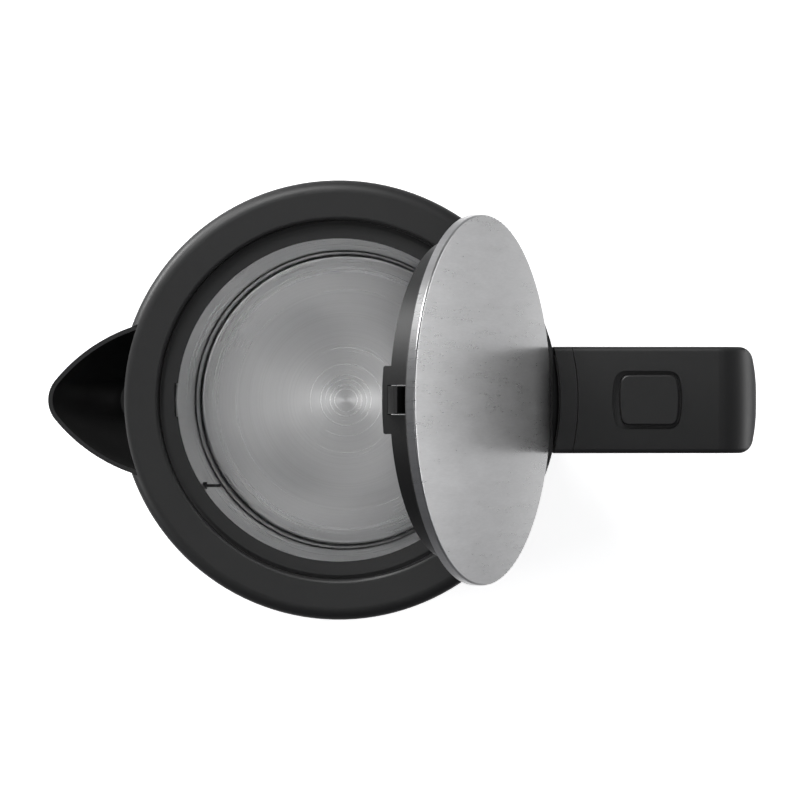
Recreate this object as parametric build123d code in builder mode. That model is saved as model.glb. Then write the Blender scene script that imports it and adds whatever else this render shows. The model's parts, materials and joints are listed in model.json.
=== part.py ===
from build123d import *
from math import cos, radians, sin, sqrt
import os

os.makedirs("parts", exist_ok=True)

# An electric kettle on its power base. Millimetres, +Z up from the table, origin on the
# kettle's axis, +X towards the handle, spout at -X. The lid is drawn open on its stop.

# ---------------------------------------------------------------- driving dimensions
# Heights
base_height = 20.0  # power base, up to the face the kettle stands on
element_space = 32.0  # from that face up to the pot's floor
pot_depth = 181.0  # pot floor to the top of the collar
collar_height = 14.0
base_cap_height = 8.0
base_cap_floor = 3.0

# Pot
pot_inner_r = 56.4
pot_wall = 0.6
pot_corner_r = 1.7
rim_gasket = 1.5
bead_rise = 40.0  # weld bead in the pot's wall, above the floor
bead_half = 1.3
bead_depth = 0.7

# Collar, from the mouth outwards
mouth_inset = 1.2  # the seat's edge stands in from the pot's wall
seat_width = 4.6
seat_wall = 2.5
gutter_width = 1.4
gutter_depth = 1.7
lip_round = 1.4
collar_width = 13.8  # recess wall to the outside of the body
shoulder_round = 4.3
collar_top_wall = 3.0
spigot_wall = 1.8
spigot_length = 4.0
spigot_gap = 0.3
shoulder_trim = 2.0  # cut off the collar's outside above the spout

# Body
shell_wall = 2.5
foot_flare = 4.0  # the body is this much wider in radius at its foot
joint_gap = 0.1  # between fixed pieces that meet

# Lid
lid_open_angle = 67.15
cap_gap = 0.8  # all round the closed lid
cap_plate = 0.8
cap_crown = 2.0
cap_edge_round = 0.65
cap_rim_gap = 0.05  # the rim stops short of the plug's underside
lid_edge = 2.95  # whole thickness at the lid's edge
seat_gap = 1.0  # lid edge to seat, filled by the seal
plug_gap = 3.1  # plug to mouth
plug_depth = 12.0
plug_wall = 2.0
tab_width = 21.5
tab_depth = 14.6
tab_corner_r = 0.7
window_width = 9.4
window_top = 6.5
window_bottom = 12.8
inner_cover_wall = 1.2

# Lid hinge
pin_out = 4.8  # hinge axis outside the recess wall
pin_drop = 9.3  # hinge axis below the top of the collar
pin_r = 1.5
pin_length = 38.0
running_gap = 0.05
knuckle_r = 4.5
knuckle_inner_y = 6.5
knuckle_outer_y = 12.6
bay_half = 16.0
bay_end_gap = 1.2
bay_floor_gap = 0.6
relief_half = 22.0
cap_relief = 1.6  # the recess is cut this much further back behind the lid

# Latch
latch_travel = 3.0
latch_grip = 1.0  # how far the bolt reaches under the seat
bolt_top_gap = 0.8
nose_face = 1.2  # the bolt's end face, above its long slope
nose_stub = 0.3
bolt_width = 8.8
rod_half = 4.0
rod_top = 4.1
rod_wall = 2.0
slide_gap = 0.3
catch_width = 11.4
catch_depth = 1.0

# Handle
handle_width = 36.4
handle_drop = 2.0  # handle top below the collar's top
handle_reach = 68.5  # from the collar's side to the end of the handle
arm_height = 24.0
grip_depth = 26.0
handle_low_z = 62.0
end_round_top = 14.0
end_round_low = 24.0
end_bulge_r = 60.0
plan_corner_r = 5.5
finger_round = 9.0
handle_edge_r = 1.8
handle_crown = 0.9  # the handle's outside is this much lower at its sides
handle_wall = 2.6
bracket_gap = 0.6
bracket_depth = 5.9
inner_cover_depth = 8.0
root_block = 9.0

# Button and release
button_start = 20.75  # front of the button from the collar's side
button_length = 20.3
button_width = 17.1
button_corner_r = 2.7
button_bulge = 1.0
button_front_gap = 2.6
button_back_gap = 1.0
button_side_gap = 1.4
hole_corner_r = 4.0
hole_bulge = 1.6
button_proud = 0.7
button_plate = 4.0
button_travel = 3.0
button_edge_r = 0.9
release_wall = 3.0
release_half = 4.0
release_top_drop = 15.0
spring_r = 1.9
spring_wire = 0.35

# Spout
spout_reach = 24.0  # beyond the collar's side
spout_half = 26.2
spout_height = 28.0
spout_floor = 3.0
spout_drop = 2.0
spout_wall = 1.5
spout_side_r = 58.0
spout_nose_r = 10.5
duct_top_gap = 0.25  # channel walls to the collar above them
filter_wall = 1.6
filter_pitch = 2.8
gasket_wall = 0.6
collar_inner_wall = 2.4
filter_hole_r = 0.8

# Power base and connector
base_margin = 3.0  # the base stands out this far beyond the kettle's foot
base_wall = 2.5
cover_drop = 3.0
foot_height = 1.6
tower_r = 12.0
tower_height = 17.0
socket_gap = 1.4
contact_wall = 0.6
control_r = 24.0
plate_inset = 6.4
plate_wall = 3.0
element_r = 36.0
element_tube_r = 3.2

# Switch
switch_x_in = 7.2  # switch pin inside the body's surface
switch_z = 38.0
switch_half = 7.2
switch_reach = 14.0

# Screws
screw_r = 1.9
screw_head_r = 3.5
screw_head = 2.2
screw_hole_r = 2.2
thread_gap = 0.03

# ---------------------------------------------------------------- derived places
pot_floor_z = base_height + element_space
top_z = pot_floor_z + pot_depth
pot_outer_r = pot_inner_r + pot_wall
plate_r = pot_inner_r - plate_inset
mouth_r = pot_inner_r - mouth_inset
seat_outer_r = mouth_r + seat_width
recess_r = seat_outer_r + gutter_width
cap_r = recess_r - cap_gap
body_r = recess_r + collar_width
foot_r = body_r + foot_flare
base_outer_r = foot_r + base_margin
seat_z = top_z - lid_edge - seat_gap
seat_under_z = seat_z - seat_wall
pot_rim_z = seat_under_z - rim_gasket
gutter_z = seat_z - gutter_depth
collar_low_z = top_z - collar_height
shell_low_z = base_height + base_cap_height
shell_slope = foot_flare / (collar_low_z - shell_low_z)
plug_r = mouth_r - plug_gap
pin_x = recess_r + pin_out
pin_z = top_z - pin_drop
handle_top_z = top_z - handle_drop
handle_end_x = body_r + handle_reach
bracket_in_r = body_r + bracket_gap
bracket_out_r = bracket_in_r + bracket_depth
button_x = body_r + button_start + button_length / 2
release_top_z = top_z - release_top_drop
release_low_z = release_top_z - release_wall
bay_floor_z = pin_z - knuckle_r - bay_floor_gap
bay_end_x = pin_x + knuckle_r + bay_end_gap
filter_x = pot_outer_r + 4.5
bolt_tip_r = mouth_r + catch_depth + latch_grip
rod_end = pin_x - pin_r - latch_travel - 0.5
lug_wall = 1.5
hook_wall = 1.6


def body_r_at(z):
    """Outer radius of the body at height z."""
    return body_r + shell_slope * max(collar_low_z - z, 0)


# The lid's own frame: x towards the hinge, z out of the lid's top, origin at the middle
# of the lid's edge plane. Closed, that origin is on the kettle's axis at top_z.
swing = radians(lid_open_angle)
lid_origin = (
    pin_x - pin_x * cos(swing) + pin_drop * sin(swing),
    0,
    pin_z + pin_x * sin(swing) + pin_drop * cos(swing),
)
lid_x_dir = (cos(swing), 0, -sin(swing))
lid_z_dir = (sin(swing), 0, cos(swing))
lid_plane = Plane(origin=lid_origin, x_dir=lid_x_dir, z_dir=lid_z_dir)
lid_side = Plane(origin=lid_origin, x_dir=lid_x_dir, z_dir=(0, -1, 0))
lid_axis = Axis(lid_origin, lid_z_dir)


def save(builder, name):
    """Label the finished piece and write its STEP file."""
    builder.part.label = name
    export_step(builder.part, f"parts/{name}.step")


def revolve_outline(points, axis=Axis.Z, plane=Plane.XZ, mode=Mode.ADD):
    """Revolve a closed outline of (radius, height) points inside the current part."""
    with BuildSketch(plane) as section:
        with BuildLine():
            Polyline(*points, close=True)
        make_face()
    revolve(section.sketch, axis=axis, mode=mode)


def ring(inner_r, outer_r, low_z, high_z, mode=Mode.ADD):
    """A plain ring, or a disc when inner_r is 0, about the kettle's axis."""
    with BuildSketch(Plane.XY.offset(low_z)) as section:
        Circle(outer_r)
        if inner_r > 0:
            Circle(inner_r, mode=Mode.SUBTRACT)
    extrude(section.sketch, amount=high_z - low_z, mode=mode)


def block(low, high, mode=Mode.ADD):
    """A square-cornered block between two corners."""
    size = [b - a for a, b in zip(low, high)]
    middle = [(a + b) / 2 for a, b in zip(low, high)]
    with Locations(tuple(middle)):
        Box(*size, mode=mode)


def rod_between(start, direction, radius, length, mode=Mode.ADD):
    """A round rod from start along direction."""
    with BuildSketch(Plane(origin=start, z_dir=direction)) as section:
        Circle(radius)
    extrude(section.sketch, amount=length, mode=mode)


def spring_solid(start, direction, radius, wire, length, turns):
    """One coil spring along direction, made outside any part."""
    with BuildPart() as coil:
        with BuildLine() as path:
            Helix(pitch=(length - 2 * wire) / turns, height=length - 2 * wire, radius=radius,
                  center=(0, 0, wire))
        with BuildSketch(Plane(origin=path.line @ 0, z_dir=path.line % 0)):
            Circle(wire)
        sweep()
    return Plane(origin=start, z_dir=direction) * coil.part


# ---------------------------------------------------------------- power base
rest_inner_r = foot_r - 15
base_screw_places = PolarLocations(rest_inner_r - 6, 3, start_angle=30)
foot_places = PolarLocations(base_outer_r - 16, 4, start_angle=45)
foot_pad_r = 6.0
middle_pad_r = 9.0
pad_recess = 1.2
tower_top_z = base_height + tower_height
tower_foot_z = 5.0
cover_top_z = base_height - base_wall
cover_low_z = foot_height
bottom_plate_top = cover_low_z + cover_drop
gland_z = 9.6
gland_half = 6.0
cord_hole_r = 3.6
gland_sleeve_r = 4.8
gland_inset = 0.6
gland_sleeve = 1.8
dish_depth = 1.0
base_edge_r = 8.0
flange_r = 17.0
cover_hole_r = tower_r + contact_wall + 0.5
dish_z = base_height - dish_depth


def base_top_cover():
    with BuildPart() as cover:
        with BuildSketch(Plane.XZ):
            with BuildLine():
                Polyline((cover_hole_r, dish_z), (rest_inner_r - 1, dish_z), (rest_inner_r, base_height),
                         (base_outer_r - base_edge_r, base_height))
                RadiusArc((base_outer_r - base_edge_r, base_height),
                          (base_outer_r, base_height - base_edge_r), base_edge_r)
                Polyline((base_outer_r, base_height - base_edge_r), (base_outer_r, bottom_plate_top - 1.0),
                         (base_outer_r - base_wall, bottom_plate_top - 1.0),
                         (base_outer_r - base_wall, base_height - base_edge_r))
                RadiusArc((base_outer_r - base_wall, base_height - base_edge_r),
                          (base_outer_r - base_edge_r, cover_top_z), base_wall - base_edge_r)
                Polyline((base_outer_r - base_edge_r, cover_top_z), (cover_hole_r, cover_top_z),
                         (cover_hole_r, dish_z))
            make_face()
        revolve(axis=Axis.Z)
        with BuildSketch(Plane.XY.offset(bottom_plate_top + joint_gap)):
            with base_screw_places:
                Circle(screw_head_r + 0.8)
        extrude(until=Until.NEXT)
        with BuildSketch(Plane.XY.offset(bottom_plate_top)):
            with base_screw_places:
                Circle(screw_r + thread_gap)
        extrude(amount=8, mode=Mode.SUBTRACT)
        notch = gland_half + joint_gap
        block((-notch, base_outer_r - 2 * base_wall, 0),
              (notch, base_outer_r + 1, gland_z + gland_sleeve_r + joint_gap), mode=Mode.SUBTRACT)
    save(cover, "base_top_cover")


def base_bottom_cover():
    with BuildPart() as cover:
        ring(0, base_outer_r - base_wall - joint_gap, cover_low_z, bottom_plate_top)
        with BuildSketch(Plane.XY.offset(cover_low_z)):
            with foot_places:
                Circle(foot_pad_r + joint_gap)
            Circle(middle_pad_r + joint_gap)
        extrude(amount=pad_recess, mode=Mode.SUBTRACT)
        with BuildSketch(Plane.XY.offset(cover_low_z)):
            with base_screw_places:
                Circle(screw_hole_r)
        extrude(amount=cover_drop, mode=Mode.SUBTRACT)
        with BuildSketch(Plane.XY.offset(cover_low_z)):
            with base_screw_places:
                Circle(screw_head_r + 0.2)
        extrude(amount=screw_head - 0.6, mode=Mode.SUBTRACT)
    save(cover, "base_bottom_cover")


def base_feet():
    with BuildPart() as feet:
        with BuildSketch(Plane.XY):
            with foot_places:
                Circle(foot_pad_r)
            Circle(middle_pad_r)
        extrude(amount=foot_height + pad_recess)
    save(feet, "base_feet")


def base_screws():
    with BuildPart() as screws:
        with BuildSketch(Plane.XY.offset(cover_low_z + 0.2)):
            with base_screw_places:
                Circle(screw_head_r)
        extrude(amount=screw_head - 0.8)
        with BuildSketch(Plane.XY.offset(cover_low_z + 0.2)):
            with base_screw_places:
                Circle(screw_r)
        extrude(amount=9.0)
    save(screws, "base_screws")


def cord_gland():
    with BuildPart() as gland:
        low_y = base_outer_r - 2 * base_wall
        high_y = base_outer_r - gland_inset
        block((-gland_half, low_y + gland_inset, bottom_plate_top + joint_gap),
              (gland_half, high_y, gland_z + gland_sleeve_r))
        with BuildSketch(Plane.XZ.offset(-high_y)):
            with Locations((0, gland_z)):
                Circle(gland_sleeve_r)
        extrude(amount=-gland_sleeve)
        with BuildSketch(Plane.XZ.offset(-(low_y - 1))):
            with Locations((0, gland_z)):
                Circle(cord_hole_r)
        extrude(amount=-20, mode=Mode.SUBTRACT)
    save(gland, "cord_gland")


line_hole_r = pin_r + running_gap + contact_wall + joint_gap
neutral_in_r = 6.9
neutral_out_r = neutral_in_r + joint_gap + contact_wall + running_gap + contact_wall + 0.8
contact_low_z = base_height + 2


def base_connector():
    with BuildPart() as connector:
        ring(0, tower_r, tower_foot_z, tower_top_z)
        ring(0, flange_r, tower_foot_z, cover_top_z - joint_gap)
        ring(0, line_hole_r, contact_low_z, tower_top_z, mode=Mode.SUBTRACT)
        ring(neutral_in_r, neutral_out_r, contact_low_z, tower_top_z, mode=Mode.SUBTRACT)
        with BuildSketch(Plane.XY.offset(tower_top_z)):
            Circle(tower_r + 5)
            Circle(tower_r - 0.8, mode=Mode.SUBTRACT)
        extrude(amount=-0.8, mode=Mode.SUBTRACT)
    save(connector, "base_connector")


def base_contacts():
    with BuildPart() as contacts:
        ring(pin_r + running_gap, line_hole_r - joint_gap, contact_low_z, tower_top_z - 1)
        neutral_r = neutral_in_r + joint_gap
        ring(neutral_r, neutral_r + contact_wall, contact_low_z, tower_top_z - 1)
        ring(tower_r + joint_gap, tower_r + contact_wall, dish_z + joint_gap, tower_top_z - 4)
    save(contacts, "base_contacts")


# ---------------------------------------------------------------- kettle, underneath
cap_screw_r = foot_r - 13
cap_screw_places = PolarLocations(cap_screw_r, 3, start_angle=70)
control_screw_places = PolarLocations(20.5, 3, start_angle=60)
socket_r = tower_r + socket_gap
control_low_z = base_height + 10
control_top_z = base_height + 23.5
plate_low_z = pot_floor_z - pot_wall - plate_wall
socket_wall = 3.0
foot_edge_r = 2.0


def base_cap():
    with BuildPart() as cap:
        ring(socket_r + socket_wall + 0.6, foot_r, base_height, shell_low_z - joint_gap)
        inner = foot_r - shell_wall - spigot_gap
        ring(0, inner - spigot_wall, base_height + base_cap_floor, shell_low_z, mode=Mode.SUBTRACT)
        ring(inner - spigot_wall, inner, shell_low_z - 1, shell_low_z + 5)
        fillet(cap.edges().group_by(Axis.Z)[0].sort_by(SortBy.RADIUS)[-1:], foot_edge_r)
        with BuildSketch(Plane.XY.offset(base_height + base_cap_floor)):
            with cap_screw_places:
                Circle(screw_head_r + 1)
        extrude(amount=2)
        with BuildSketch(Plane.XY.offset(base_height)):
            with cap_screw_places:
                Circle(screw_hole_r)
        extrude(amount=6, mode=Mode.SUBTRACT)
        with BuildSketch(Plane.XY.offset(base_height)):
            with cap_screw_places:
                Circle(screw_head_r + 0.3)
        extrude(amount=screw_head + 0.4, mode=Mode.SUBTRACT)
    save(cap, "base_cap")


def base_cap_screws():
    with BuildPart() as screws:
        with BuildSketch(Plane.XY.offset(base_height + 0.4)):
            with cap_screw_places:
                Circle(screw_head_r)
        extrude(amount=screw_head)
        with BuildSketch(Plane.XY.offset(base_height + 0.4)):
            with cap_screw_places:
                Circle(screw_r)
        extrude(amount=14)
    save(screws, "base_cap_screws")


def outer_shell():
    with BuildPart() as shell:
        revolve_outline([(foot_r, shell_low_z), (body_r, collar_low_z), (body_r - shell_wall, collar_low_z),
                         (foot_r - shell_wall, shell_low_z)])
        # bosses for the base cap's screws, webbed to the wall
        boss_low_z = base_height + base_cap_floor + 2 + joint_gap
        with BuildSketch(Plane.XY.offset(boss_low_z)):
            with cap_screw_places:
                Circle(screw_head_r + 0.8)
            with cap_screw_places:
                Rectangle(foot_r - cap_screw_r - shell_wall / 2 - 1.4, 3, align=(Align.MIN, Align.CENTER))
        extrude(amount=12)
        ring(foot_r - shell_wall - spigot_gap - spigot_wall - joint_gap, foot_r - shell_wall + 0.2,
             boss_low_z - 1, shell_low_z + 5 + joint_gap, mode=Mode.SUBTRACT)
        revolve_outline([(foot_r, shell_low_z), (foot_r - shell_slope * 12, shell_low_z + 12),
                         (foot_r - shell_wall - shell_slope * 12, shell_low_z + 12),
                         (foot_r - shell_wall, shell_low_z)])
        with BuildSketch(Plane.XY.offset(boss_low_z)):
            with cap_screw_places:
                Circle(screw_r + thread_gap)
        extrude(amount=12.2, mode=Mode.SUBTRACT)
        add(spout_opening(joint_gap), mode=Mode.SUBTRACT)
        # way through for the release slide
        side = release_half + slide_gap
        block((40, -side, release_low_z - slide_gap), (body_r + 5, side, top_z), mode=Mode.SUBTRACT)
        # slot for the switch
        block((40, -switch_half - 1, switch_z - 4.4), (foot_r + 5, switch_half + 1, switch_z + 4.6),
              mode=Mode.SUBTRACT)
        for y, z in handle_screw_places():
            rod_between((body_r - 12, y, z), (1, 0, 0), screw_hole_r, 20, mode=Mode.SUBTRACT)
    save(shell, "outer_shell")


def inner_pot():
    with BuildPart() as pot:
        ring(0, pot_outer_r, pot_floor_z - pot_wall, pot_rim_z)
        fillet(pot.edges().group_by(Axis.Z)[0], pot_corner_r + pot_wall)
        with BuildSketch(Plane.XY.offset(pot_floor_z)):
            Circle(pot_inner_r)
        extrude(amount=pot_depth, mode=Mode.SUBTRACT)
        ring(pot_inner_r - pot_corner_r, pot_inner_r + pot_wall / 2, pot_floor_z - pot_wall / 2,
             pot_floor_z + pot_corner_r)
        with BuildSketch(Plane.XZ) as cove:
            with Locations((pot_inner_r - pot_corner_r, pot_floor_z + pot_corner_r)):
                Circle(pot_corner_r)
        revolve(axis=Axis.Z, mode=Mode.SUBTRACT)
        ring(0, pot_inner_r - pot_corner_r, pot_floor_z, pot_floor_z + 2 * pot_corner_r, mode=Mode.SUBTRACT)
        # weld bead round the wall
        bead_z = pot_floor_z + bead_rise
        with BuildSketch(Plane.XZ) as bead:
            with BuildLine():
                ThreePointArc((pot_inner_r, bead_z - bead_half), (pot_inner_r - bead_depth, bead_z),
                              (pot_inner_r, bead_z + bead_half))
                Polyline((pot_inner_r, bead_z + bead_half), (pot_outer_r - pot_wall / 2, bead_z + bead_half),
                         (pot_outer_r - pot_wall / 2, bead_z - bead_half), (pot_inner_r, bead_z - bead_half))
            make_face()
        revolve(bead.sketch, axis=Axis.Z)
        # pouring window, open to the rim
        add(spout_hollow(), mode=Mode.SUBTRACT)
    save(pot, "inner_pot")


def pot_gasket():
    with BuildPart() as gasket:
        ring(mouth_r + 0.4, pot_outer_r + 0.3, pot_rim_z, seat_under_z)
        add(spout_opening(joint_gap), mode=Mode.SUBTRACT)
    save(gasket, "pot_gasket")


level_z = top_z - 40
level_y = -30.0
level_wall_x = -sqrt(pot_inner_r ** 2 - level_y ** 2)


def max_level_tab():
    with BuildPart() as tab:
        with Locations((level_wall_x + 2.15, level_y, level_z)):
            Box(7.2, 1.0, 3.0)
        with Locations((level_wall_x + 0.35, level_y, level_z)):
            Box(1.2, 2.4, 5.0)
        ring(pot_inner_r - 0.05, pot_inner_r + 20, level_z - 20, level_z + 20, mode=Mode.SUBTRACT)
    save(tab, "max_level_tab")


def heating_plate():
    with BuildPart() as plate:
        ring(0, plate_r, plate_low_z, pot_floor_z - pot_wall)
        fillet(plate.edges().group_by(Axis.Z)[0], 1.0)
        with BuildSketch(Plane.XY.offset(plate_low_z)):
            with control_screw_places:
                Circle(screw_r + thread_gap)
        extrude(amount=2.2, mode=Mode.SUBTRACT)
    save(plate, "heating_plate")


def heating_element():
    arc = 300
    tube_z = plate_low_z - element_tube_r - joint_gap
    ends = [radians(-arc / 2), radians(arc / 2)]
    with BuildPart() as element:
        start = Plane.XZ.rotated((0, 0, -arc / 2))
        with BuildSketch(start):
            with Locations((element_r, tube_z)):
                Circle(element_tube_r)
        revolve(axis=Axis.Z, revolution_arc=arc)
        for angle in ends:
            foot = (element_r * cos(angle), element_r * sin(angle), tube_z)
            with Locations(foot):
                Sphere(element_tube_r)
            rod_between(foot, (0, 0, -1), 1.2, 11)
    save(element, "heating_element")


def bimetal_discs():
    with BuildPart() as discs:
        with BuildSketch(Plane.XY.offset(control_top_z)):
            with Locations((-12, 0), (12, 0)):
                Circle(6.5)
        extrude(amount=0.5)
    save(discs, "bimetal_discs")


def control_body():
    with BuildPart() as control:
        ring(0, control_r, control_low_z, control_top_z)
        ring(socket_r, socket_r + socket_wall, base_height + 1.2, control_low_z)
        ring(0, socket_r, control_low_z - 1, tower_top_z + 1, mode=Mode.SUBTRACT)
        ring(0, pin_r + joint_gap, control_low_z, control_top_z, mode=Mode.SUBTRACT)
        blade = neutral_in_r + joint_gap + contact_wall + running_gap
        ring(blade - joint_gap, blade + contact_wall + joint_gap, tower_top_z, control_top_z - 1,
             mode=Mode.SUBTRACT)
        with BuildSketch(Plane.XY.offset(control_low_z)):
            with control_screw_places:
                Circle(screw_hole_r)
        extrude(amount=20, mode=Mode.SUBTRACT)
        with BuildSketch(Plane.XY.offset(control_low_z)):
            with control_screw_places:
                Circle(screw_head_r + 0.3)
        extrude(amount=screw_head, mode=Mode.SUBTRACT)
        chamfer(control.edges().group_by(Axis.Z)[-1].sort_by(SortBy.RADIUS)[-1:], 1.0)
        with BuildSketch(Plane.XY.offset(control_low_z + 3)):
            with PolarLocations(control_r - 3, 3, start_angle=0):
                Rectangle(9, 8)
        extrude(amount=8)
        ring(0, socket_r + 2, control_low_z + 3, control_low_z + 3.1, mode=Mode.SUBTRACT)
    save(control, "control_body")


def control_contacts():
    blade = neutral_in_r + joint_gap + contact_wall + running_gap
    with BuildPart() as contacts:
        ring(0, pin_r, contact_low_z + 2, control_top_z)
        ring(blade, blade + contact_wall, contact_low_z + 2, control_top_z - 1.1)
    save(contacts, "control_contacts")


def control_screws():
    with BuildPart() as screws:
        with BuildSketch(Plane.XY.offset(control_low_z)):
            with control_screw_places:
                Circle(screw_head_r)
        extrude(amount=screw_head)
        with BuildSketch(Plane.XY.offset(control_low_z)):
            with control_screw_places:
                Circle(screw_r)
        extrude(amount=plate_low_z - control_low_z + 2)
    save(screws, "control_screws")


# ---------------------------------------------------------------- collar
tube_angle = 24.0
tube_place_r = pot_outer_r + 4.8
tube_x = tube_place_r * cos(radians(tube_angle))
tube_y = tube_place_r * sin(radians(tube_angle))
tube_outer_r = 3.5
tube_bore_r = 2.5
tube_top_z = top_z - 12
tube_boss_low_z = top_z - 19
rear_block_half = pin_length / 2 + 2
rear_block_low_z = release_low_z - 3


def spout_way():
    """What the spout takes out of the collar: its channel below the top wall, and the
    shoulder above the spout's root."""
    with BuildPart() as way:
        add(spout_opening(joint_gap))
        ring(0, body_r - shoulder_trim, top_z - collar_top_wall, top_z + 10, mode=Mode.SUBTRACT)
        ring(0, recess_r + collar_inner_wall, 0, top_z + 10, mode=Mode.SUBTRACT)
    return way.part


def top_collar():
    inner = body_r - shell_wall - spigot_gap - spigot_wall
    with BuildPart() as collar:
        with BuildSketch(Plane.XZ):
            with BuildLine():
                Polyline((mouth_r, seat_under_z), (mouth_r, seat_z), (seat_outer_r, seat_z),
                         (seat_outer_r, gutter_z), (recess_r, gutter_z), (recess_r, top_z - lip_round))
                RadiusArc((recess_r, top_z - lip_round), (recess_r + lip_round, top_z), lip_round)
                Line((recess_r + lip_round, top_z), (body_r - shoulder_round, top_z))
                RadiusArc((body_r - shoulder_round, top_z), (body_r, top_z - shoulder_round), shoulder_round)
                Polyline((body_r, top_z - shoulder_round), (body_r, collar_low_z),
                         (inner + spigot_wall, collar_low_z),
                         (inner + spigot_wall, collar_low_z - spigot_length),
                         (inner, collar_low_z - spigot_length), (inner, top_z - collar_top_wall),
                         (recess_r + collar_inner_wall, top_z - collar_top_wall),
                         (recess_r + collar_inner_wall, seat_under_z),
                         (mouth_r, seat_under_z))
            make_face()
        revolve(axis=Axis.Z)
        # rear block that carries the hinge pin, and the steam tube's socket
        with BuildSketch(Plane.XY.offset(rear_block_low_z)):
            Circle(inner + 0.2)
            Circle(pot_outer_r + 0.3, mode=Mode.SUBTRACT)
            with Locations((0, 0)):
                Rectangle(2 * body_r, 2 * rear_block_half, align=(Align.MIN, Align.CENTER),
                          mode=Mode.INTERSECT)
        extrude(amount=gutter_z - rear_block_low_z)
        with BuildSketch(Plane.XY.offset(tube_boss_low_z)):
            with Locations((tube_x, tube_y)):
                Circle(tube_outer_r + 2)
            Circle(pot_outer_r + 0.3, mode=Mode.SUBTRACT)
        extrude(amount=gutter_z - 0.5 - tube_boss_low_z)
        rod_between((tube_x, tube_y, tube_boss_low_z), (0, 0, 1), tube_outer_r + joint_gap,
                    tube_top_z - tube_boss_low_z, mode=Mode.SUBTRACT)
        rod_between((tube_x, tube_y, tube_boss_low_z), (0, 0, 1), tube_bore_r,
                    top_z - collar_top_wall - tube_boss_low_z, mode=Mode.SUBTRACT)
        # recess eased behind the lid, so that the lid's edge can swing
        with BuildSketch(Plane.XY.offset(seat_z)):
            with Locations((cap_relief, 0)):
                Circle(recess_r)
            with Locations((0, 0)):
                Rectangle(2 * body_r, 2 * body_r, align=(Align.MIN, Align.CENTER), mode=Mode.INTERSECT)
        extrude(amount=top_z - seat_z + 1, mode=Mode.SUBTRACT)
        with BuildSketch(Plane.XY.offset(seat_z)):
            with Locations((0, 0)):
                Rectangle(pin_x + 7.0, 2 * relief_half, align=(Align.MIN, Align.CENTER))
            Circle(mouth_r, mode=Mode.SUBTRACT)
        extrude(amount=top_z - seat_z + 1, mode=Mode.SUBTRACT)
        # hinge bay
        block((pot_inner_r / 2, -bay_half, seat_under_z - 2), (pot_outer_r + 0.5, bay_half, top_z + 1),
              mode=Mode.SUBTRACT)
        block((pot_outer_r + 0.3, -bay_half, bay_floor_z), (bay_end_x, bay_half, top_z + 1),
              mode=Mode.SUBTRACT)
        rod_between((pin_x, -pin_length / 2, pin_z), (0, 1, 0), pin_r + thread_gap, pin_length,
                    mode=Mode.SUBTRACT)
        # way for the release slide and its hook
        side = release_half + slide_gap
        block((pot_outer_r + 0.3, -side, release_low_z - slide_gap),
              (body_r + 1, side, release_top_z + slide_gap), mode=Mode.SUBTRACT)
        block((pot_outer_r + 0.3, -side, release_low_z),
              (rod_end + latch_travel + 0.4, side, bay_floor_z + 0.1), mode=Mode.SUBTRACT)
        for y, z in handle_screw_places()[:2]:
            rod_between((pot_outer_r, y, z), (1, 0, 0), screw_head_r + 0.5, 20, mode=Mode.SUBTRACT)
        # spout side: the water's way out, the trimmed shoulder and the catch
        add(spout_way(), mode=Mode.SUBTRACT)
        block((-mouth_r - catch_depth, -catch_width / 2, seat_under_z - 1),
              (-mouth_r / 2, catch_width / 2, top_z), mode=Mode.SUBTRACT)
    save(collar, "top_collar")


def steam_tube():
    with BuildPart() as tube:
        low_z = base_height + 27
        rod_between((tube_x, tube_y, low_z), (0, 0, 1), tube_outer_r, tube_top_z - joint_gap - low_z)
        rod_between((tube_x, tube_y, low_z), (0, 0, 1), tube_bore_r, tube_top_z - low_z, mode=Mode.SUBTRACT)
    save(tube, "steam_tube")


# ---------------------------------------------------------------- spout
def arch(reach, half, inset=0.0):
    """Pointed plan outline of the spout in the current sketch, drawn in by inset."""
    nose = spout_nose_r - inset
    tip = reach - inset
    side_r = spout_side_r - inset
    root_x = sqrt(body_r ** 2 - spout_half ** 2)
    root = Vector(-root_x + 4, half - inset)
    nose_mid = Vector(-(tip - nose), 0)
    gap = nose_mid - root
    span = gap.length
    big = side_r
    small = side_r - nose
    along = (span ** 2 + big ** 2 - small ** 2) / (2 * span)
    off = sqrt(max(big ** 2 - along ** 2, 0))
    unit = gap.normalized()
    normal = Vector(unit.Y, -unit.X)
    if normal.Y > 0:
        normal = normal * -1
    centre = root + unit * along + normal * off
    join = centre + (nose_mid - centre).normalized() * big
    with BuildLine() as outline:
        out = (join - nose_mid).normalized()
        nose_top = nose_mid + (out + Vector(-1, 0)).normalized() * nose
        ThreePointArc((-tip, 0), nose_top, join)
        mid = (join + root) * 0.5 - centre
        ThreePointArc(join, centre + mid.normalized() * big, root)
        Line(root, (-30, root.Y))
        Line((-30, root.Y), (-30, 0))
        mirror(about=Plane.XZ)
    make_face(outline.edges())


spout_top_z = top_z - spout_drop
spout_sections = [
    (0.0, body_r + spout_reach, spout_half),
    (0.5, body_r + spout_reach * 0.66, spout_half * 0.84),
    (1.0, body_r + 2.6, spout_half * 0.42),
]


def spout_form(inset, lift, above):
    """The spout's solid form from inside the pot to the lip, drawn in by inset, its floor
    raised by lift and its top carried up by above."""
    with BuildPart() as form:
        for share, reach, half in spout_sections:
            with BuildSketch(Plane.XY.offset(spout_top_z - share * (spout_height - lift))):
                arch(reach, half, inset)
        loft()
        if above > 0:
            with BuildSketch(Plane.XY.offset(spout_top_z)):
                arch(spout_sections[0][1], spout_sections[0][2], inset)
            extrude(amount=above)
    return form.part


def spout_opening(gap):
    """What the spout's channel takes out of a wall that it passes through."""
    return spout_form(-gap, -gap, 5)


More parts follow.
